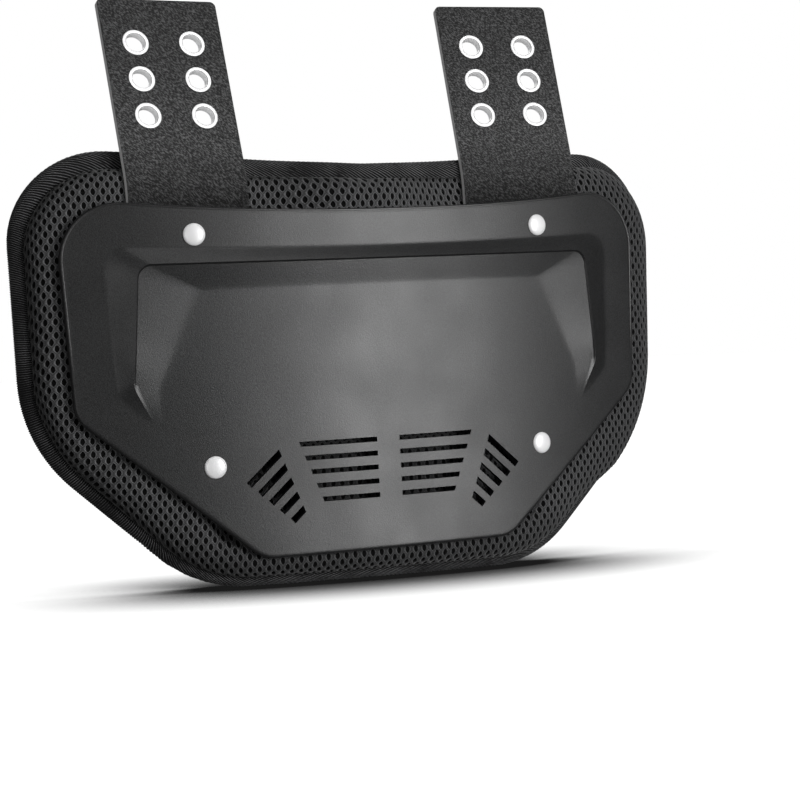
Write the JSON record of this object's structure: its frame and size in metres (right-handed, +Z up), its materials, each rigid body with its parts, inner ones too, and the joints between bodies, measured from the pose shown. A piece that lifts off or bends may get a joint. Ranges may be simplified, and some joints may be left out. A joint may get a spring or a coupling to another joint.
{
  "type": "football back plate",
  "caption": "Bowed foam back pad in black spacer mesh under a vented grey plastic plate, with a bound edge and riveted straps whose eyelets bolt to shoulder pads.",
  "frame": {"origin": "where it hangs: midway between the two straps, at the middle row of eyelets and the middle of the straps' thickness", "axes": "+X across the plate to the right as seen from the plate's face, +Y back towards the wearer, +Z up along the plate; the plate faces -Y"},
  "size_m": [0.2928, 0.0472, 0.2448],
  "materials": {
    "plate_plastic": "matte moulded plastic with a fine sandy grain",
    "spacer_mesh": "black knitted spacer mesh",
    "edge_binding": "black ribbed woven tape",
    "strap_leather": "black pebbled leather with grey cut edges",
    "cap_metal": "bright plated metal"
  },
  "bodies": {
    "root": {"plate": "plate_plastic", "pad": "spacer_mesh", "binding": "edge_binding", "rivet_top_left": "cap_metal", "rivet_bottom_left": "cap_metal", "rivet_top_right": "cap_metal", "rivet_bottom_right": "cap_metal", "strap_left": "strap_leather", "strap_right": "strap_leather", "eyelet_left_1": "cap_metal", "eyelet_left_2": "cap_metal", "eyelet_left_3": "cap_metal", "eyelet_left_4": "cap_metal", "eyelet_left_5": "cap_metal", "eyelet_left_6": "cap_metal", "eyelet_right_1": "cap_metal", "eyelet_right_2": "cap_metal", "eyelet_right_3": "cap_metal", "eyelet_right_4": "cap_metal", "eyelet_right_5": "cap_metal", "eyelet_right_6": "cap_metal"}
  },
  "joints": []
}
